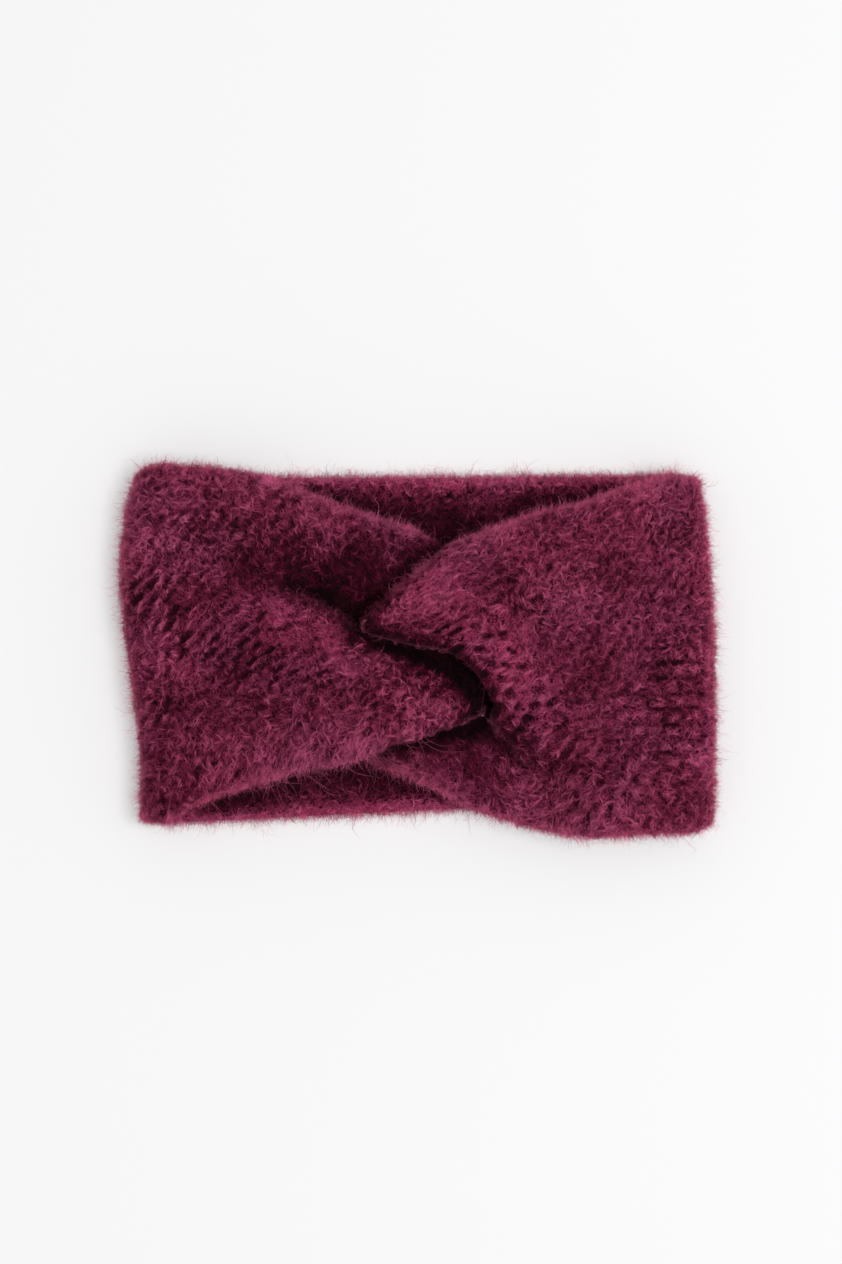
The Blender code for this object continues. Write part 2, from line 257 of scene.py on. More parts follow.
def band_surface(table, side, seam_x, parted_to):
    """A band's middle surface, half thickness and cells, and its places on the fabric.

    Those are each station's distance along, and each point's from the ridge and the nearer rim.
    """
    last = table[-1]
    width = last.far_y - last.edge_y
    ridge_at, foot_at = (last.ridge_y - last.edge_y) / width, (last.foot_y - last.edge_y) / width
    ridge_i = int(round(ridge_at * ACROSS_COUNT))
    foot_i = int(round(foot_at * ACROSS_COUNT))
    inset = INSET / FABRIC_DEPTH
    across = np.concatenate(
        [
            np.linspace(inset, ridge_at, ridge_i + 1),
            np.linspace(ridge_at, foot_at, foot_i - ridge_i + 1)[1:],
            np.linspace(foot_at, 1 - inset, ACROSS_COUNT - foot_i + 1)[1:],
        ]
    )
    per_row = 16
    places = np.arange(per_row * (len(table) - 1) + 1) / per_row
    points, halves = front_surface(sections_at(table, places), across, ridge_at, foot_at)
    end_round = FOLD_ROUND if parted_to else WALL / 2
    halves = halves * rounding(lengths(points - points[0]), end_round)
    turns = np.linspace(0, 1, 33)
    along = 1 - (1 - np.linspace(0, 1, 160)[1:]) ** 1.5
    back = back_surface(side, across, seam_x, along)
    points = np.concatenate([points, side_surface(side, across, turns), back])
    wall = np.full((len(turns), len(across)), WALL / 2)
    halves = np.concatenate(
        [halves, wall, WALL / 2 * rounding(np.abs(back[:, :, 0] - seam_x), SEAM_ROUND)]
    )
    parted_end = per_row * parted_to
    side_end = len(places) + len(turns) - 1
    runs = [
        (parted_end, side_end, FRONT_STEP),
        (side_end, len(points) - 1, BACK_STEP, SEAM_ROUND),
    ]
    if parted_to:
        runs.insert(0, (0, parted_end, FRONT_STEP))
    pieces = [evenly(points, halves, *run) for run in runs]
    parted = len(pieces[0][0]) - 1 if parted_to else 0
    points = np.concatenate([pieces[0][0]] + [piece[0][1:] for piece in pieces[1:]])
    halves = np.concatenate([pieces[0][1]] + [piece[1][1:] for piece in pieces[1:]])

    steps = lengths(np.diff(points, axis=1))
    from_edge = np.concatenate([np.zeros((len(points), 1)), np.cumsum(steps, 1)], 1)
    halves = halves * rounding(from_edge, WALL / 2)
    halves = halves * rounding(from_edge[:, -1:] - from_edge, WALL / 2)
    to_ridge = np.abs(from_edge[:parted, ridge_i : ridge_i + 1] - from_edge[:parted])
    to_foot = np.abs(from_edge[:parted] - from_edge[:parted, foot_i : foot_i + 1])
    upper = np.arange(len(across)) <= ridge_i
    halves[:parted] *= np.where(upper, rounding(to_ridge, FOLD_ROUND), rounding(to_foot, WALL / 2))
    cells = np.ones((len(points) - 1, len(across) - 1), bool)
    cells[:parted, ridge_i:foot_i] = False
    stations = lengths(np.diff(points, axis=0)).mean(1)
    along = np.concatenate([[0], np.cumsum(stations)])
    from_ridge = from_edge - from_edge[:, ridge_i : ridge_i + 1] + ridge_at * FABRIC_DEPTH
    rim = np.minimum(from_edge, from_edge[:, -1:] - from_edge)
    return points, halves * (1 - 2 * SINK / WALL), cells, along, from_ridge, rim


def surface_normals(points, cells):
    """Normals at the grid's points, outwards where along runs from the twist to the side."""
    facing = np.cross(points[1:, 1:] - points[:-1, :-1], points[1:, :-1] - points[:-1, 1:])
    facing = facing * cells[..., None]
    normals = np.zeros_like(points)
    for dj in (0, 1):
        for di in (0, 1):
            normals[dj : dj + len(facing), di : di + facing.shape[1]] += facing
    return unit(normals)


# Where the stitches show through the pile: a place on the front, how far round it, how strongly the
# slits between the stitches show and the gaps between the rows, and how far a slit leans
Zone = namedtuple("Zone", "x y reach slits gaps lean")
ZONES = records(
    Zone,
    (-0.102, 0.016, 0.018, 1.0, 0.15, -0.6),
    (-0.082, 0.01, 0.02, 1.0, 0.15, -0.8),
    (-0.058, 0.002, 0.02, 1.0, 0.1, -0.9),
    (-0.04, -0.004, 0.014, 0.9, 0.1, -1.0),
    (-0.098, -0.02, 0.014, 0.7, 0.3, -0.4),
    (0.006, 0.01, 0.007, 0.9, 0.1, -0.7),
    (0.017, 0.006, 0.01, 1.2, 0.1, -0.7),
    (0.027, -0.001, 0.011, 1.2, 0.15, -0.7),
    (0.035, -0.011, 0.011, 1.2, 0.2, -0.7),
    (0.043, -0.022, 0.011, 1.2, 0.2, -0.6),
    (0.052, -0.035, 0.01, 1.0, 0.3, -0.5),
    (0.092, -0.004, 0.013, 0.3, 0.9, 0.0),
    (0.097, -0.022, 0.013, 0.3, 1.0, 0.0),
    (0.096, -0.038, 0.012, 0.3, 1.0, 0.0),
    (0.08, -0.02, 0.012, 0.3, 0.7, 0.0),
)


def stitch_zones(x, y):
    """How strongly slits and gaps show at places, and how far the slits lean."""
    slits = 0.32 + 0.20 * noise(x, y, 0.015, 11)
    gaps = 0.15 + 0.15 * noise(x, y, 0.013, 12)
    total, lean = 0.05, -0.8 * 0.05
    for zone in ZONES:
        near = np.exp(-((x - zone.x) ** 2 + (y - zone.y) ** 2) / zone.reach**2)
        slits = np.maximum(slits, zone.slits * near)
        gaps = np.maximum(gaps, zone.gaps * near)
        total = total + near
        lean = lean + zone.lean * near
    return np.clip(slits, 0, 1), np.clip(gaps, 0, 1), lean / total


def lattice(along, across, lean):
    """The row and column of stitch at places, and where in it, from -0.5 to 0.5 both ways."""
    wide = across + 0.0007 * noise(along, across, 0.011, 3)
    far = along + 0.0009 * noise(along, across, 0.009, 4)
    row = np.floor(wide / ROW_PITCH)
    v = wide / ROW_PITCH - row - 0.5
    phase = (far - lean * v * ROW_PITCH) / STITCH_PITCH + hashed(row, 9)
    column = np.floor(phase)
    return row, column, phase - column - 0.5, v


def stitch_depth(along, across, x, y):
    """Depth of the stitches under the top of the knit, from 0 to 1."""
    slits, gaps, lean = stitch_zones(x, y)
    row, column, u, v = lattice(along, across, lean)
    side = column + (u > 0)
    wide = (0.11 + 0.08 * hashed(row, side, 5)) * (1 + 0.5 * slits)
    deep = smooth(1.6 * hashed(row, side, 6) - 0.15)
    slit = deep * np.exp(-((np.abs(u) - 0.5) ** 2) / wide**2) * (1 - smooth(np.abs(v) * 5 - 1.4))
    dash = smooth(1.8 * hashed(row + (v > 0), column, 7) - 0.2)
    gap = dash * np.exp(-((np.abs(v) - 0.5) ** 2) / 0.13**2) * (1 - smooth(np.abs(u) * 5 - 1.3))
    i, j = np.floor(along / PIT_PITCH), np.floor(across / PIT_PITCH)
    pit = 0.0
    for di in (-1, 0, 1):
        for dj in (-1, 0, 1):
            a, b = i + di, j + dj
            ahead = along - (a + 0.1 + 0.8 * hashed(a, b, 41)) * PIT_PITCH
            aside = across - (b + 0.1 + 0.8 * hashed(a, b, 42)) * PIT_PITCH
            turn = np.pi * hashed(a, b, 43)
            long = (ahead * np.cos(turn) + aside * np.sin(turn)) / (PIT_LENGTH / 2)
            wide = (aside * np.cos(turn) - ahead * np.sin(turn)) / (PIT_WIDTH / 2)
            pit = np.maximum(pit, hashed(a, b, 44) * np.exp(-(long**2) - wide**2))
    pits = 0.85 * (1 - 0.5 * np.maximum(slits, gaps))
    return np.clip(slit * slits + gap * gaps + pit * pits, 0, 1)


Face = namedtuple("Face", "points normals")


class Knit:
    """One band: its two faces, its stitches, and how much sky its places see."""

    def __init__(self, table, side, seam_x, parted_to, turned):
        middle, self.half, self.cells, self.along, self.across, self.rim = band_surface(
            table, side, seam_x, parted_to
        )
        self.middle = middle * (-1, -1, 1) if turned else middle

    def finish(self, shift):
        self.middle = self.middle - shift
        out = surface_normals(self.middle, self.cells)
        half = self.half[..., None]
        x, y = self.middle[..., 0], self.middle[..., 1]
        along, across = np.broadcast_arrays(self.along[:, None], self.across)
        self.depth = stitch_depth(along, across, x, y)
        lumps = LARGE_LUMPS * noise(along, across, 0.006, 21)
        lumps = lumps + SMALL_LUMPS * noise(along, across, 0.002, 22)
        full = np.clip(self.half / (WALL / 2), 0, 1)
        sunk = ((STITCH_DEPTH * self.depth + lumps) * full)[..., None]
        outer_normals = surface_normals(self.middle + out * half, self.cells)
        inner_normals = -surface_normals(self.middle - out * half, self.cells)
        outer_normals[-2:], inner_normals[-2:] = outer_normals[-3], inner_normals[-3]
        self.faces = {
            "outer": Face(self.middle + out * (half - sunk), outer_normals),
            "inner": Face(self.middle - out * (half - 0.5 * sunk), inner_normals),
        }
        self.open = {}


def coarse(count):
    return np.unique(np.append(np.arange(0, count, COARSE_EVERY), count - 1))


def sky_tree(knits):
    """A ray tree of every face, made coarsely."""
    vertices, quads, count = [], [], 0
    for knit in knits:
        j, i = map(coarse, knit.half.shape)
        ids = np.arange(len(j) * len(i)).reshape(len(j), len(i))
        kept = [
            (a, b)
            for a in range(len(j) - 1)
            for b in range(len(i) - 1)
            if knit.cells[j[a] : j[a + 1], i[b] : i[b + 1]].all()
        ]
        for face in knit.faces.values():
            vertices.extend(face.points[np.ix_(j, i)].reshape(-1, 3).tolist())
            for a, b in kept:
                ring = (ids[a, b], ids[a, b + 1], ids[a + 1, b + 1], ids[a + 1, b])
                quads.append([count + int(k) for k in ring])
            count += ids.size
    return BVHTree.FromPolygons(vertices, quads)


def find_sky(knits):
    """Share of the sky each place sees, from rays to all sides of its normal."""
    tree = sky_tree(knits)
    k = np.arange(SKY_RAYS) + 0.5
    height = np.sqrt(1 - k / SKY_RAYS)
    round_by = np.pi * (1 + 5**0.5) * k
    spread = np.sqrt(1 - height**2)
    ways = np.stack([spread * np.cos(round_by), spread * np.sin(round_by), height], 1)
    for knit in knits:
        j, i = map(coarse, knit.half.shape)
        for side, face in knit.faces.items():
            places, normals = face.points[np.ix_(j, i)], face.normals[np.ix_(j, i)]
            helper = np.where(np.abs(normals[..., 2:]) > 0.7, (1.0, 0, 0), (0, 0, 1.0))
            first = unit(np.cross(normals, helper))
            second = np.cross(normals, first)
            rays = (
                first[..., None, :] * ways[:, :1]
                + second[..., None, :] * ways[:, 1:2]
                + normals[..., None, :] * ways[:, 2:]
            )
            starts = places + normals * SKY_START
            free = np.zeros(places.shape[:2])
            for a in range(len(j)):
                for b in range(len(i)):
                    start = Vector(starts[a, b])
                    hits = [tree.ray_cast(start, Vector(ray), SKY_REACH)[0] for ray in rays[a, b]]
                    free[a, b] = sum(hit is None for hit in hits) / SKY_RAYS
            free[-1] = free[-2]
            wide = np.array([np.interp(np.arange(knit.half.shape[1]), i, row) for row in free])
            full = [np.interp(np.arange(knit.half.shape[0]), j, column) for column in wide.T]
            knit.open[side] = np.array(full).T


def mesh_object(name, vertices, loops, starts, material, tone=None, normals=None):
    mesh = bpy.data.meshes.new(name)
    mesh.vertices.add(len(vertices))
    mesh.vertices.foreach_set("co", np.asarray(vertices, np.float32).ravel())
    mesh.loops.add(len(loops))
    mesh.loops.foreach_set("vertex_index", np.asarray(loops, np.int32))
    mesh.polygons.add(len(starts))
    mesh.polygons.foreach_set("loop_start", np.asarray(starts, np.int32))
    mesh.polygons.foreach_set("use_smooth", np.ones(len(starts), bool))
    mesh.update(calc_edges=True)
    mesh.validate()
    if tone is not None:
        layer = mesh.attributes.new("tone", "FLOAT", "POINT")
        layer.data.foreach_set("value", np.asarray(tone, np.float32))
    if normals is not None:
        mesh.normals_split_custom_set_from_vertices(normals.tolist())
    mesh.materials.append(material)
    made = bpy.data.objects.new(name, mesh)
    bpy.context.collection.objects.link(made)
    return made


# Tones go from 0, the darkest wool, to 1, the lightest
# The next six set painted shade where a place sees little sky, and painted highlights on slopes and
# rims.
FREE_SKY = 0.92  # the share of sky that leaves a tone as it is
SKY_DARKENS = {"outer": 1.9, "inner": 0.85}
DARKEST = -0.8
RIM_LIGHT = {"outer": 0.12, "inner": 0.58}
RIM_LIGHT_REACH = 0.0042
SLOPE_LIGHT = 0.30
CREASE_FADE = 3.5
# The pit tones are painted shade: slits, gaps and pits between the stitches are painted darker by
# their depth.
KNIT_TONE, KNIT_PAINTED_PIT_SHADE = 0.46, 0.60
KNIT_SHADE = 1.4
PILE_TONE, PILE_TONE_SPREAD, PILE_PAINTED_PIT_SHADE = 0.41, 0.11, 0.56
PATCH_TONE, PATCH_SIZE = 0.10, 0.020
TUFT_TONE, TUFT_SIZE, TUFT_REACH = 0.20, 0.0017, 0.007  # tufts along the rims
# Fuzz that sees open sky, as on the outer rims, is painted lighter: painted light.
FUZZ_TONE, FUZZ_PAINTED_SKY_LIGHT, FUZZ_TONE_SPREAD = 0.40, 0.16, 0.12
CLUMP_TONE, CLUMP_SIZE = 0.20, 0.0022
FUZZ_SHADE = 1.6
STRAND_TONE, STRAND_TONE_SPREAD = 0.86, 0.08


def repeated(count, vertices_each, faces):
    """Loops and face starts of a small mesh that is repeated count times."""
    ring = np.concatenate(faces)
    firsts = np.cumsum([0] + [len(face) for face in faces[:-1]])
    loops = vertices_each * np.arange(count)[:, None] + ring
    starts = len(ring) * np.arange(count)[:, None] + firsts
    return loops.ravel(), starts.ravel()


def lit_tone(side, normals, open_sky, light, rim=np.inf):
    """How much lighter or darker a place is for its surroundings.

    Painted shade where folds hide the sky, and painted highlights where the knit turns down,
    standing in for fuzz that catches light, and along the rims, standing in for light that comes
    through. The highlights fade in the creases that SHADES paints darker, where light is below 0.
    """
    hidden = np.minimum(SKY_DARKENS[side] * (FREE_SKY - np.clip(open_sky, 0, 1)), -DARKEST)
    slope = SLOPE_LIGHT * (1 - np.abs(normals[..., 2])) * smooth((open_sky - 0.78) / 0.18)
    through = RIM_LIGHT[side] * np.exp(-rim / RIM_LIGHT_REACH)
    return (slope + through) * np.clip(1 + CREASE_FADE * light, 0, 1) - hidden


# Painted light and shade on the front, painted shade in the creases and hollows of the twist and
# painted light on its raised crests: where, how far round it, and by how much
Shade = namedtuple("Shade", "x y reach light")
SHADES = records(
    Shade,
    (-0.05, -0.045, 0.02, -0.01),
    (-0.085, -0.045, 0.02, -0.04),
    (-0.072, 0.052, 0.026, -0.04),
    (-0.064, 0.017, 0.008, 0.12),
    (-0.049, 0.013, 0.008, 0.16),
    (-0.035, 0.006, 0.008, 0.14),
    (-0.022, -0.004, 0.008, 0.06),
    (0.004, 0.022, 0.01, 0.12),
    (0.018, 0.03, 0.012, 0.05),
    (0.02, 0.008, 0.009, 0.1),
    (0.032, -0.002, 0.01, 0.16),
    (0.043, -0.016, 0.011, 0.14),
    (0.055, -0.056, 0.02, -0.03),
    (-0.018, 0.033, 0.014, -0.06),
    (-0.03, 0.022, 0.01, -0.15),
    (-0.045, 0.027, 0.009, -0.15),
    (-0.06, 0.031, 0.008, -0.1),
    (-0.023, 0.01, 0.0045, -0.5),
    (-0.015, 0.005, 0.004, -0.55),
    (-0.008, 0.002, 0.004, -0.55),
    (-0.001, 0.0, 0.004, -0.55),
    (0.005, -0.002, 0.0045, -0.55),
    (0.012, -0.005, 0.0045, -0.6),
    (0.018, -0.01, 0.0048, -0.65),
    (0.0225, -0.016, 0.0048, -0.52),
    (0.025, -0.021, 0.0048, -0.5),
    (0.019, -0.026, 0.0042, -0.55),
    (0.009, -0.03, 0.0035, -0.35),
    (0.036, -0.034, 0.008, -0.12),
)


# Painted light and shade at places on the front, from SHADES.
def shade_tone(x, y):
    tone = 0.0
    for shade in SHADES:
        near = np.exp(-((x - shade.x) ** 2 + (y - shade.y) ** 2) / shade.reach**2)
        tone = tone + shade.light * near
    return np.maximum(tone, DARKEST)


def knit_object(name, knit, material):
    """The closed knitted wall, whose two faces meet along every rim."""
    j_count, i_count = knit.half.shape
    padded = np.zeros((j_count + 1, i_count + 1), bool)
    padded[1:-1, 1:-1] = knit.cells
    around = [padded[1:, 1:], padded[1:, :-1], padded[:-1, 1:], padded[:-1, :-1]]
    inside = np.logical_and.reduce(around)
    used = np.logical_or.reduce(around)
    outer = np.cumsum(used.ravel()).reshape(used.shape) - 1
    count = int(used.sum())
    inner = np.where(inside, count + np.cumsum(inside.ravel()).reshape(used.shape) - 1, outer)
    rim = used & ~inside
    top = np.where(rim[..., None], knit.middle, knit.faces["outer"].points)[used]
    vertices = np.concatenate([top, knit.faces["inner"].points[inside]])
    tones = {}
    for side, face in knit.faces.items():
        # The knit's tone with painted shade in its stitches' recesses and creases, and painted
        # light on its slopes and rims.
        light = shade_tone(knit.middle[..., 0], knit.middle[..., 1]) if side == "outer" else 0.0
        tone = KNIT_TONE - KNIT_PAINTED_PIT_SHADE * knit.depth + KNIT_SHADE * light
        tones[side] = tone + lit_tone(side, face.normals, knit.open[side], light, knit.rim)
    tone = np.clip(np.concatenate([tones["outer"][used], tones["inner"][inside]]), 0, 1)
    j, i = np.nonzero(knit.cells)
    out = np.stack([outer[j, i], outer[j, i + 1], outer[j + 1, i + 1], outer[j + 1, i]], 1)
    back = np.stack([inner[j, i], inner[j + 1, i], inner[j + 1, i + 1], inner[j, i + 1]], 1)
    loops = np.concatenate([out, back]).ravel()
    return mesh_object(name, vertices, loops, np.arange(0, len(loops), 4), material, tone=tone)


# Which way the pile is combed: a place on the front, how far round it, the way in degrees from +X
# towards +Y, how strongly, and how long the hairs are
Comb = namedtuple("Comb", "x y reach angle strength length")
COMBS = records(
    Comb,
    (-0.05, -0.045, 0.02, 255, 1.2, 1.2),
    (-0.085, -0.045, 0.02, 265, 0.8, 1.1),
    (-0.015, -0.028, 0.016, 235, 0.9, 1.1),
    (-0.064, 0.017, 0.008, 175, 1.2, 0.95),
    (-0.049, 0.013, 0.008, 160, 1.2, 0.95),
    (-0.035, 0.006, 0.008, 150, 1.2, 0.9),
    (-0.022, -0.003, 0.008, 150, 0.9, 0.9),
    (0.004, 0.022, 0.013, 225, 1.0, 1.0),
    (0.018, 0.03, 0.013, 205, 0.8, 1.0),
    (0.008, -0.042, 0.014, 150, 0.9, 1.2),
    (0.055, -0.056, 0.02, 235, 1.0, 1.2),
    (0.095, -0.058, 0.018, 250, 0.7, 1.1),
    (-0.03, 0.021, 0.02, 0, 0.0, 0.8),
    (0.01, -0.006, 0.01, 0, 0.0, 0.7),
)
LOCK_HAIRS = 7
LOCK_SPREAD = 0.00030
PILE_LENGTH = 0.0044
PILE_HEIGHT = 0.0010
PILE_WIDTH = 0.00010
# Along a hair: the place, how far it rises, its width there, and how much lighter it is
HAIR = ((0, -0.3, 1, -0.17), (0.33, 0.85, 1, 0), (0.67, 1, 0.8, 0.05), (1, 0, 0, 0.12))
STRAYS = 0.04  # the share of hairs that stand up out of their lock
PRESSED = 0.0002  # how high a hair lies that the floor presses flat
FUZZ_HEIGHT = 0.0020
FUZZ_WIDTH = 0.000085
FUZZ_ROOT = 0.0006  # how deep in the knit a hair of fuzz starts
RIM_SPREAD = 0.0014  # how far along a rim a hair starts from its station


def pick_cells(shares, count, rng):
    """Rows and columns of a grid, picked at random by the share of each cell."""
    total = np.cumsum(shares.ravel())
    picked = np.searchsorted(total, rng.random(count) * total[-1])
    return np.unravel_index(np.minimum(picked, shares.size - 1), shares.shape)


def cell_areas(points, cells):
    """Twice the area of each cell of a grid."""
    a, b = points[1:, 1:] - points[:-1, :-1], points[1:, :-1] - points[:-1, 1:]
    return lengths(np.cross(a, b)) * cells


def lock_shares(knit, side, weight):
    """How much of the pile each cell gets: more along the rims, and less in the creases."""
    sky = knit.open[side]
    cell_sky = (sky[1:, 1:] + sky[:-1, :-1]) / 2
    cell_rim = (knit.rim[1:, 1:] + knit.rim[:-1, :-1]) / 2
    shares = cell_areas(knit.faces[side].points, knit.cells) * weight
    shares = shares * (0.03 + 0.97 * smooth((cell_sky - 0.08) / 0.45))
    shares = shares * (1 + 2.0 * np.exp(-cell_rim / 0.003))
    if side == "inner":
        shares = shares * (0.12 + np.exp(-((cell_rim / 0.022) ** 2)))
    return shares


def either_sign(rng, count):
    return np.where(rng.random(count) < 0.5, 1, -1)


def combing(x, y):
    """The way that the pile is combed at places on the front, and how much longer it is there."""
    way, longer = np.zeros((len(x), 3)), np.ones(len(x))
    for comb in COMBS:
        near = np.exp(-((x - comb.x) ** 2 + (y - comb.y) ** 2) / comb.reach**2)
        angle = math.radians(comb.angle)
        way[:, 0] += near * comb.strength * math.cos(angle)
        way[:, 1] += near * comb.strength * math.sin(angle)
        longer += near * (comb.length - 1)
    return way, longer


# Hairs, as columns: way and beside are unit vectors, ahead and aside how far a hair is moved along
# them, along and across its root's place on the fabric, and the last two turn a move into one there
Hairs = namedtuple(
    "Hairs",
    "root normal way beside length height tip curl roll wide ahead aside shade"
    " along across per_along per_across",
)


def ribbons(hairs):
    """Vertices and tones of curled ribbons over the knit's relief, 7 of each for a hair."""
    root, normal, way, beside, length, height, tip = hairs[:7]
    curl, roll, wide, ahead, aside, shade = hairs[7:13]
    half_turn = length * np.sin(curl / 2) / curl
    vertices, tones = [], []
    for t, rise, taper, tint in HAIR:
        heading = curl * (t - 0.5)
        run = length * (np.sin(heading) + np.sin(curl / 2)) / curl - half_turn + ahead
        swerve = length * (np.cos(curl / 2) - np.cos(heading)) / curl + aside * (1 - 0.6 * t)
        place = root + way * run[:, None] + beside * swerve[:, None]
        along = hairs.along + ((place - root) * hairs.per_along).sum(1)
        across = hairs.across + ((place - root) * hairs.per_across).sum(1)
        depth = stitch_depth(along, across, place[:, 0], place[:, 1])
        lift = height * (tip if t == 1 else rise) - STITCH_DEPTH * depth
        place = place + normal * lift[:, None]
        # Painted shade: a hair over a stitch's recess is painted darker by the recess's depth.
        tone = (shade + tint - PILE_PAINTED_PIT_SHADE * depth)[:, None]
        tones.append(np.repeat(tone, 1 if t == 1 else 2, 1))
        if t == 1:
            vertices.append(place[:, None])
            continue
        edge = beside * np.cos(heading)[:, None] - way * np.sin(heading)[:, None]
        edge = edge * np.cos(roll)[:, None] + normal * np.sin(roll)[:, None]
        edge = edge * (wide * taper)[:, None]
        vertices.append(np.stack([place - edge, place + edge], 1))
    vertices = np.concatenate(vertices, 1).reshape(-1, 3)
    return vertices, np.clip(np.concatenate(tones, 1), 0, 1).ravel()


def pile(name, knit, side, count, seed, material, weight, reach=1.0):
    """A joined mesh of hairs that lie over one face of the knit in curled locks.

    weight is each cell's share, and reach makes the hairs longer.
    """
    rng = np.random.default_rng(seed)
    points, normals = knit.faces[side]
    locks = count // LOCK_HAIRS
    j, i = pick_cells(lock_shares(knit, side, weight), locks, rng)
    u, v = rng.random(locks), rng.random(locks)

    def at(grid):
        uu, vv = (u[:, None], v[:, None]) if grid.ndim == 3 else (u, v)
        near = grid[j, i] * (1 - vv) + grid[j, i + 1] * vv
        far = grid[j + 1, i] * (1 - vv) + grid[j + 1, i + 1] * vv
        return near * (1 - uu) + far * uu

    root, normal, open_sky = at(points), unit(at(normals)), at(knit.open[side])
    rim, across = at(knit.rim), at(knit.across)
    along = knit.along[j] * (1 - u) + knit.along[j + 1] * u
    to_along, to_across = points[j + 1, i] - points[j, i], points[j, i + 1] - points[j, i]
    scale_along = lengths(to_along) / (knit.along[j + 1] - knit.along[j])
    scale_across = lengths(to_across) / (knit.across[j, i + 1] - knit.across[j, i])
    to_along, to_across = unit(to_along), unit(to_across)
    x, y = root[:, 0], root[:, 1]

    # The roots are drawn out of the slits and gaps
    slits, gaps, lean = stitch_zones(x, y)
    row, column, over, up = lattice(along, across, lean)
    pull_over = -0.85 * slits * over * STITCH_PITCH * scale_along
    pull_up = -0.60 * gaps * up * ROW_PITCH * scale_across
    root = root + to_along * pull_over[:, None] + to_across * pull_up[:, None]

    # The way each lock lies: combed, along the slits, or in slow swirls
    way, longer, lighter = np.zeros((locks, 3)), 1.0, 0.0
    if side == "outer":
        way, longer = combing(x, y)
        # Painted light and shade of the front, from SHADES.
        lighter = shade_tone(x, y)
    turn = np.pi * (1.6 * noise(x, y, 0.007, seed) + rng.normal(0, 0.35, locks))
    strength = 0.75 * (1 - 0.6 * slits)
    way += to_along * (strength * np.cos(turn))[:, None]
    way += to_across * (strength * np.sin(turn))[:, None]
    along_slit = unit(to_along * lean[:, None] + to_across)
    way += along_slit * (slits**2 * either_sign(rng, locks))[:, None]
    way = unit(way - normal * (way * normal).sum(1, keepdims=True))

    # Each lock's size, curl and tone, with painted light and shade from its surroundings
    space = smooth(open_sky / 0.6)
    length = PILE_LENGTH * reach * longer * rng.uniform(0.6, 1.25, locks) * (0.55 + 0.45 * space)
    length = length * (1 - 0.35 * np.maximum(slits, gaps))
    curl = rng.uniform(1.0, 4.0, locks) * either_sign(rng, locks)
    curl = curl * (1 - 0.7 * slits)
    height = PILE_HEIGHT * rng.uniform(0.5, 1.7, locks) * (0.4 + 0.6 * space)
    shade = PILE_TONE + PILE_TONE_SPREAD * rng.normal(0, 1, locks) + lighter
    shade = shade + lit_tone(side, normal, open_sky, lighter, rim)
    shade = shade + PATCH_TONE * noise(x, y, PATCH_SIZE, 31)
    tufts = noise(along, 0.25 * across, TUFT_SIZE, 52) * np.exp(-rim / TUFT_REACH)
    shade = shade + TUFT_TONE * tufts

    def each(grid):
        return np.repeat(grid, LOCK_HAIRS, 0)

    # The hairs of each lock, which differ a little
    hairs = locks * LOCK_HAIRS
    root, normal, way, length, height = (each(g) for g in (root, normal, way, length, height))
    beside = np.cross(way, normal)
    aside = rng.normal(0, LOCK_SPREAD, hairs)
    ahead = rng.normal(0, 0.25, hairs) * length
    swing = rng.normal(0, 0.16, hairs)[:, None]
    way, beside = unit(way + beside * swing), unit(beside - way * swing)
    curl = each(curl) + rng.normal(0, 0.3, hairs)
    curl = np.where(np.abs(curl) < 0.01, 0.01, curl)
    stray = rng.random(hairs) < STRAYS
    length = length * rng.uniform(0.7, 1.15, hairs) * np.where(stray, 1.35, 1)
    core = np.exp(-((aside / (1.6 * LOCK_SPREAD)) ** 2))
    height = height * (0.55 + 0.45 * core) * rng.uniform(0.8, 1.25, hairs) * np.where(stray, 1.5, 1)
    # Painted shade: hairs at a lock's edges are painted darker and those at its core lighter, as on
    # a rounded lock.
    shade = each(shade) + rng.normal(0, 0.05, hairs) + 0.14 * (core - 0.6)
    roll = rng.uniform(-0.9, 0.9, hairs)
    wide = PILE_WIDTH * rng.uniform(0.7, 1.2, hairs) * np.where(stray, 0.6, 1) / 2
    tip = rng.uniform(0.2, 1.3, hairs)
    along, across = each(along + pull_over / scale_along), each(across + pull_up / scale_across)
    per_along = each(to_along / scale_along[:, None])
    per_across = each(to_across / scale_across[:, None])
    columns = (root, normal, way, beside, length, height, tip, curl, roll, wide, ahead, aside)
    vertices, tones = ribbons(Hairs(*columns, shade, along, across, per_along, per_across))
    vertices[:, 2] = np.maximum(vertices[:, 2], np.repeat(rng.uniform(0, PRESSED, hairs), 7))
    turned = normal * np.cos(roll)[:, None] - beside * np.sin(roll)[:, None]
    facing = np.repeat(unit(normal + 0.5 * turned), 7, 0)
    loops, starts = repeated(hairs, 7, ((0, 1, 3, 2), (2, 3, 5, 4), (4, 5, 6)))
    return mesh_object(name, vertices, loops, starts, material, tone=tones, normals=facing)


def side_roots(knit, count, rng):
    """Places on the steep parts of a band, the way out there, and the sky they see."""
    points, normals = knit.faces["outer"]
    sky = knit.open["outer"]
    steep = 1 - np.abs(normals[1:, 1:, 2] + normals[:-1, :-1, 2]) / 2
    shares = cell_areas(points, knit.cells)
    shares = shares * smooth((steep - 0.20) / 0.5) * smooth((sky[1:, 1:] - 0.60) / 0.25)
    j, i = pick_cells(shares, count, rng)
    u, v = rng.random(count)[:, None], rng.random(count)[:, None]
    root = (points[j, i] * (1 - u) + points[j + 1, i] * u) * (1 - v)
    root = root + (points[j, i + 1] * (1 - u) + points[j + 1, i + 1] * u) * v
    return root, unit(normals[j, i] + normals[j + 1, i + 1]), sky[j, i]


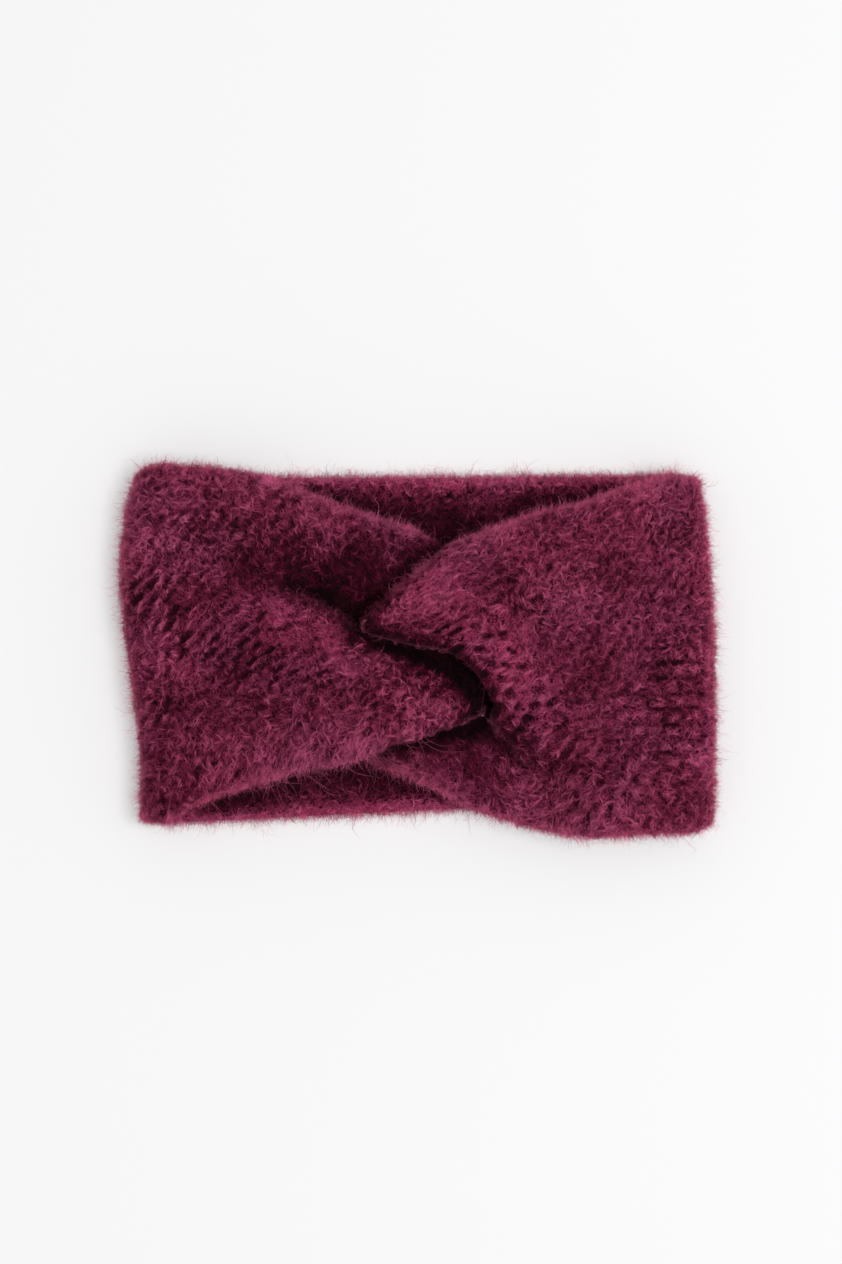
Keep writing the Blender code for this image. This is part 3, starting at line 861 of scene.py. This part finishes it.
def rim_roots(knit, count, rng):
    """Places round the rounded rims of a band, the way out there, and the sky they see."""
    middle = knit.middle
    centre = (middle[1:, 1:] + middle[:-1, :-1] + middle[1:, :-1] + middle[:-1, 1:]) / 4
    out = np.zeros_like(middle)
    near = np.zeros(middle.shape[:2])
    for dj in (0, 1):
        for di in (0, 1):
            rows, columns = slice(dj, dj + len(centre)), slice(di, di + centre.shape[1])
            out[rows, columns] += (middle[rows, columns] - centre) * knit.cells[..., None]
            near[rows, columns] += knit.cells
    on_rim = (near > 0) & (near < 4)
    on_rim[-1] = False
    span = np.gradient(knit.along)[:, None] * on_rim
    span = span * (0.03 + 0.97 * smooth((knit.open["outer"] - 0.82) / 0.15))
    j, i = pick_cells(span, count, rng)
    up = surface_normals(middle, knit.cells)[j, i]
    out = unit(out[j, i])
    tilt = rng.uniform(-1.25, 1.35, count)[:, None]
    round_by = WALL / 2 - SINK
    root = middle[j, i] + np.cross(out, up) * rng.uniform(-0.5, 0.5, count)[:, None] * RIM_SPREAD
    root = root - out * round_by * (1 - np.cos(tilt)) + up * round_by * np.sin(tilt)
    return root, unit(out * np.cos(tilt) + up * np.sin(tilt)), knit.open["outer"][j, i]


def fuzz(name, knit, counts, seed, material):
    """A joined mesh of fine short hairs that stand out from the sides and rims."""
    rng = np.random.default_rng(seed)
    parts = zip(side_roots(knit, counts[0], rng), rim_roots(knit, counts[1], rng))
    root, normal, sky = (np.concatenate(part) for part in parts)
    count = len(root)
    first = unit(np.cross(normal, (0.3, 0.5, 0.8)))
    second = np.cross(normal, first)
    turn = rng.uniform(0, 2 * np.pi, count)[:, None]
    aside = first * np.cos(turn) + second * np.sin(turn)
    bend = first * np.sin(turn) - second * np.cos(turn)
    height = FUZZ_HEIGHT * (0.30 + rng.gamma(2.0, 0.33, count))[:, None]
    light = np.where(root[:, 2] > BEND_RADIUS, shade_tone(root[:, 0], root[:, 1]), 0)
    clump = noise(root[:, 0] + root[:, 2], root[:, 1] - root[:, 2], CLUMP_SIZE, seed)
    room = (0.35 + 0.65 * smooth((sky - 0.65) / 0.25)) * np.clip(1 + 3.0 * light, 0.05, 1)
    height = height * (room * (1 + 0.55 * clump))[:, None]
    lean = rng.uniform(0.3, 1.3, count)[:, None] * height
    bow = rng.normal(0, 0.35, count)[:, None] * height
    middle = root + normal * 0.65 * height + aside * 0.4 * lean + bend * bow
    tip = root + normal * height + aside * lean
    wide = bend * FUZZ_WIDTH * rng.uniform(0.6, 1.2, count)[:, None] / 2
    root = root - normal * FUZZ_ROOT
    vertices = np.stack([root - wide, root + wide, middle + wide, middle - wide, tip], 1)
    vertices[..., 2] = np.maximum(vertices[..., 2], rng.uniform(0, PRESSED, (count, 1)))
    loops, starts = repeated(count, 5, ((0, 1, 2, 3), (3, 2, 4)))
    # Painted light on fuzz that sees open sky, and painted light and shade from its surroundings
    # and from SHADES.
    shade = FUZZ_TONE + FUZZ_PAINTED_SKY_LIGHT * smooth((sky - 0.82) / 0.15)
    shade = shade + FUZZ_TONE_SPREAD * rng.normal(0, 1, count) + CLUMP_TONE * clump
    shade = shade + lit_tone("outer", normal, sky, light) + FUZZ_SHADE * light
    tones = np.clip(np.stack([shade - 0.15, shade - 0.15, shade, shade, shade + 0.15], 1), 0, 1)
    facing = np.repeat(unit(normal + (0, 0, 0.5)), 5, 0)
    vertices, tones = vertices.reshape(-1, 3), tones.ravel()
    return mesh_object(name, vertices, loops, starts, material, tone=tones, normals=facing)


# Where loose strands start on the lower rim of the left band: places along it, from the twist
# outwards, and how many hang there
Loose = namedtuple("Loose", "first last count")
LOOSE = (Loose(0.020, 0.060, 46), Loose(0.060, 0.092, 30))
STRAND_STEPS = 9
STRAND_WIDTH = 0.00034


def strands(name, knit, seed, material):
    """A joined mesh of long loose strands that hang from a rim over the opening under it."""
    rng = np.random.default_rng(seed)
    starts_at = np.concatenate([rng.uniform(k.first, k.last, k.count) for k in LOOSE])
    j = np.searchsorted(knit.along, starts_at)
    count = len(j)
    place = knit.middle[j, 0] + (0, -0.0003, 0.0008)
    heading = np.where(rng.random(count) < 0.5, -0.6, -2.5) + rng.normal(0, 0.45, count)
    turn = rng.normal(0, 0.10, count)
    length = rng.uniform(0.007, 0.019, count)
    lines, sides = [], []
    for _ in range(STRAND_STEPS + 1):
        ahead = np.stack([np.cos(heading), np.sin(heading), np.full(count, -0.12)], 1)
        lines.append(place)
        sides.append(np.stack([-np.sin(heading), np.cos(heading), np.full(count, 0.3)], 1))
        place = place + ahead * (length / STRAND_STEPS)[:, None]
        turn = turn + rng.normal(0, 0.11, count)
        heading = heading + turn
    lines, sides = np.stack(lines, 1), unit(np.stack(sides, 1))
    lines[..., 2] = np.maximum(lines[..., 2], 2 * SINK)
    thin = 1 - 0.6 * (np.arange(STRAND_STEPS + 1) / STRAND_STEPS)[None, :, None] ** 2
    aside = sides * thin * STRAND_WIDTH / 2
    vertices = np.stack([lines - aside, lines + aside], 2).reshape(-1, 3)
    each = 2 * (STRAND_STEPS + 1)
    steps = [(k, k + 1, k + 3, k + 2) for k in range(0, 2 * STRAND_STEPS, 2)]
    loops, starts = repeated(count, each, steps)
    tone = np.clip(rng.normal(STRAND_TONE, STRAND_TONE_SPREAD, count), 0, 1)
    tones, facing = np.repeat(tone, each), np.tile((0.0, 0.0, 1.0), (len(vertices), 1))
    return mesh_object(name, vertices, loops, starts, material, tone=tones, normals=facing)


def linear(red, green, blue):
    """A colour seen on a screen, from 0 to 255 a channel, as light."""
    return tuple(((c / 255 + 0.055) / 1.055) ** 2.4 for c in (red, green, blue)) + (1.0,)


# How finely the wool varies, and how much its tone does
SLOW_SCALE, FINE_SCALE, HUE_SCALE = 60.0, 620.0, 38.0
SLOW_DRIFT = 0.35
MEAN_FOLD = 0.09
# How the wool drifts from a redder to a bluer red
HUE_STOPS = ((0.34, (1.0, 0.90, 0.88, 1.0)), (0.66, (0.97, 1.0, 1.0, 1.0)))


def set_sockets(node, values):
    for name, value in values.items():
        node.inputs[name].default_value = value


def new_material(name, sockets):
    """A material with values set on its shader's sockets, its node tree, and the shader."""
    material = bpy.data.materials.new(name)
    material.use_nodes = True
    shader = material.node_tree.nodes["Principled BSDF"]
    set_sockets(shader, sockets)
    return material, material.node_tree, shader


def noise_node(tree, place, scale, detail, distortion=0.0):
    node = tree.nodes.new("ShaderNodeTexNoise")
    set_sockets(node, {"Scale": scale, "Detail": detail, "Distortion": distortion})
    tree.links.new(place.outputs["Object"], node.inputs["Vector"])
    return node


def math_node(tree, operation, *inputs):
    """A node that works out a number from others, each a plain number or another node's output."""
    node = tree.nodes.new("ShaderNodeMath")
    node.operation = operation
    for k, value in enumerate(inputs):
        if isinstance(value, float):
            node.inputs[k].default_value = value
        else:
            tree.links.new(value, node.inputs[k])
    return node.outputs[0]


def ramp_node(tree, stops, source):
    node = tree.nodes.new("ShaderNodeValToRGB")
    while len(node.color_ramp.elements) < len(stops):
        node.color_ramp.elements.new(0.5)
    for element, (position, colour) in zip(node.color_ramp.elements, stops):
        element.position = position
        element.color = colour
    tree.links.new(source, node.inputs["Fac"])
    return node


def wool_material(name, stops, curls, sheen, bump):
    """Wool whose colour follows the tone of each hair or stitch, with slow and fine variation."""
    wool = {
        "Roughness": 0.85,
        "Specular IOR Level": 0.05,
        "Sheen Weight": sheen,
        "Sheen Roughness": 0.35,
        "Sheen Tint": linear(240, 122, 160),
    }
    material, tree, shader = new_material(name, wool)
    place = tree.nodes.new("ShaderNodeTexCoord")
    tone = tree.nodes.new("ShaderNodeAttribute")
    tone.attribute_name = "tone"
    slow = noise_node(tree, place, SLOW_SCALE, 2.0)
    fine = noise_node(tree, place, FINE_SCALE, 2.0, 1.2)
    fold = math_node(tree, "ABSOLUTE", math_node(tree, "SUBTRACT", fine.outputs["Fac"], 0.5))
    varied = math_node(tree, "MULTIPLY_ADD", slow.outputs["Fac"], SLOW_DRIFT, tone.outputs["Fac"])
    varied = math_node(tree, "MULTIPLY_ADD", fold, curls, varied)
    centred = math_node(tree, "SUBTRACT", varied, SLOW_DRIFT / 2 + MEAN_FOLD * curls)
    colour = ramp_node(tree, stops, centred)
    drift = noise_node(tree, place, HUE_SCALE, 3.0)
    hue = ramp_node(tree, HUE_STOPS, drift.outputs["Fac"])
    tinted = tree.nodes.new("ShaderNodeMix")
    tinted.data_type = "RGBA"
    tinted.blend_type = "MULTIPLY"
    tinted.inputs["Factor"].default_value = 1.0
    tree.links.new(colour.outputs["Color"], tinted.inputs["A"])
    tree.links.new(hue.outputs["Color"], tinted.inputs["B"])
    tree.links.new(tinted.outputs["Result"], shader.inputs["Base Color"])
    if bump:
        relief = tree.nodes.new("ShaderNodeBump")
        relief.invert = True
        set_sockets(relief, {"Strength": 0.5, "Distance": 0.0006})
        tree.links.new(fold, relief.inputs["Height"])
        tree.links.new(relief.outputs["Normal"], shader.inputs["Normal"])
    return material


WHITE = (1.0, 1.0, 1.0, 1.0)
FLOOR_HALF = 9.0
FLOOR_Z = -0.0002
# The paper glows a little besides reflecting the lamp: painted light that makes the shadows on it
# paler.
PAPER_GLOW = 0.25


def make_floor():
    ways = ((-1, -1), (1, -1), (1, 1), (-1, 1))
    corners = [(x * FLOOR_HALF, y * FLOOR_HALF, FLOOR_Z) for x, y in ways]
    paper = {
        "Base Color": linear(214, 214, 214),
        "Roughness": 0.95,
        "Specular IOR Level": 0.1,
        "Emission Color": WHITE,
        "Emission Strength": PAPER_GLOW,
    }
    floor = mesh_object("floor", corners, [0, 1, 2, 3], [0], new_material("paper", paper)[0])


LIGHT_PLACE = (0.78, -0.08, 2.0)
LIGHT_SIZE = 1.1
LIGHT_WATTS = 22.0
SKY_STRENGTH = 0.62


def make_light():
    """One soft lamp, aimed at the origin."""
    data = bpy.data.lights.new("soft_top", "AREA")
    data.shape = "DISK"
    data.size = LIGHT_SIZE
    data.energy = LIGHT_WATTS
    light = bpy.data.objects.new("soft_top", data)
    bpy.context.collection.objects.link(light)
    away = unit(np.array(LIGHT_PLACE))
    light.location = LIGHT_PLACE
    light.rotation_euler = (math.acos(away[2]), 0, math.atan2(away[0], -away[1]))


def make_camera():
    data = bpy.data.cameras.new("camera")
    data.sensor_fit = "VERTICAL"
    data.sensor_height = SENSOR
    data.lens = LENS
    data.clip_start = 0.01
    data.clip_end = 20
    camera = bpy.data.objects.new("camera", data)
    bpy.context.collection.objects.link(camera)
    distance = PHOTO_HEIGHT * PHOTO_METRE * LENS / SENSOR
    across = (PHOTO_WIDTH / 2 - PHOTO_CENTRE[0]) * PHOTO_METRE
    up = (PHOTO_CENTRE[1] - PHOTO_HEIGHT / 2) * PHOTO_METRE
    camera.location = (across, up, FRONT_Z + distance)
    bpy.context.scene.camera = camera


def make_world():
    world = bpy.data.worlds.new("studio")
    world.use_nodes = True
    set_sockets(world.node_tree.nodes["Background"], {"Color": WHITE, "Strength": SKY_STRENGTH})
    bpy.context.scene.world = world
    bpy.context.scene.view_settings.view_transform = "Standard"


make_camera()
make_floor()
make_world()
make_light()

left = Knit(LEFT_FRONT, LEFT_SIDE, SEAM_X, 0, False)
right = Knit(RIGHT_FRONT, RIGHT_SIDE, -SEAM_X, RIGHT_PARTED_TO, True)
low = np.minimum(left.middle.min((0, 1)), right.middle.min((0, 1)))
high = np.maximum(left.middle.max((0, 1)), right.middle.max((0, 1)))
shift = np.array([(low[0] + high[0]) / 2, (low[1] + high[1]) / 2, 0])
for knit in (left, right):
    knit.finish(shift)
find_sky((left, right))

# The knit's wool is much darker than the pile's: partly the knit's own colour and partly painted
# shade for the knit under the pile.
KNIT_STOPS = ((0.0, linear(8, 0, 3)), (0.5, linear(52, 7, 24)), (1.0, linear(150, 52, 90)))
PILE_STOPS = ((0.0, linear(8, 0, 3)), (0.45, linear(97, 18, 48)), (1.0, linear(230, 108, 154)))
knit_wool = wool_material("knit_wool", KNIT_STOPS, -3.0, 0.35, True)
pile_wool = wool_material("pile_wool", PILE_STOPS, -0.5, 1.0, False)

FRONT_HAIRS, BACK_HAIRS, INSIDE_HAIRS = 23500, 6500, 6500
FUZZ_HAIRS = (13000, 17000)  # on the steep parts, and round the rims
BACK_REACH = 1.2  # how much longer the hairs on the back are

for name, knit in (("left", left), ("right", right)):
    body = knit_object(f"{name}_knit", knit, knit_wool)
    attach(body, "root")
    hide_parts(f"{name}_band")
    front = knit.middle[:-1, :-1, 2] > (FRONT_Z + BACK_Z) / 2
    hairs = [
        pile(f"{name}_pile_front_a", knit, "outer", FRONT_HAIRS, 101, pile_wool, front),
        pile(f"{name}_pile_front_b", knit, "outer", FRONT_HAIRS, 202, pile_wool, front),
        pile(f"{name}_pile_back", knit, "outer", BACK_HAIRS, 303, pile_wool, ~front, BACK_REACH),
        pile(f"{name}_pile_inside", knit, "inner", INSIDE_HAIRS, 404, pile_wool, ~front),
        fuzz(f"{name}_fuzz", knit, FUZZ_HAIRS, 505, pile_wool),
    ]
    if name == "left":
        hairs.append(strands("left_strands", knit, 606, pile_wool))
    for hair in hairs:
        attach(hair, "root")
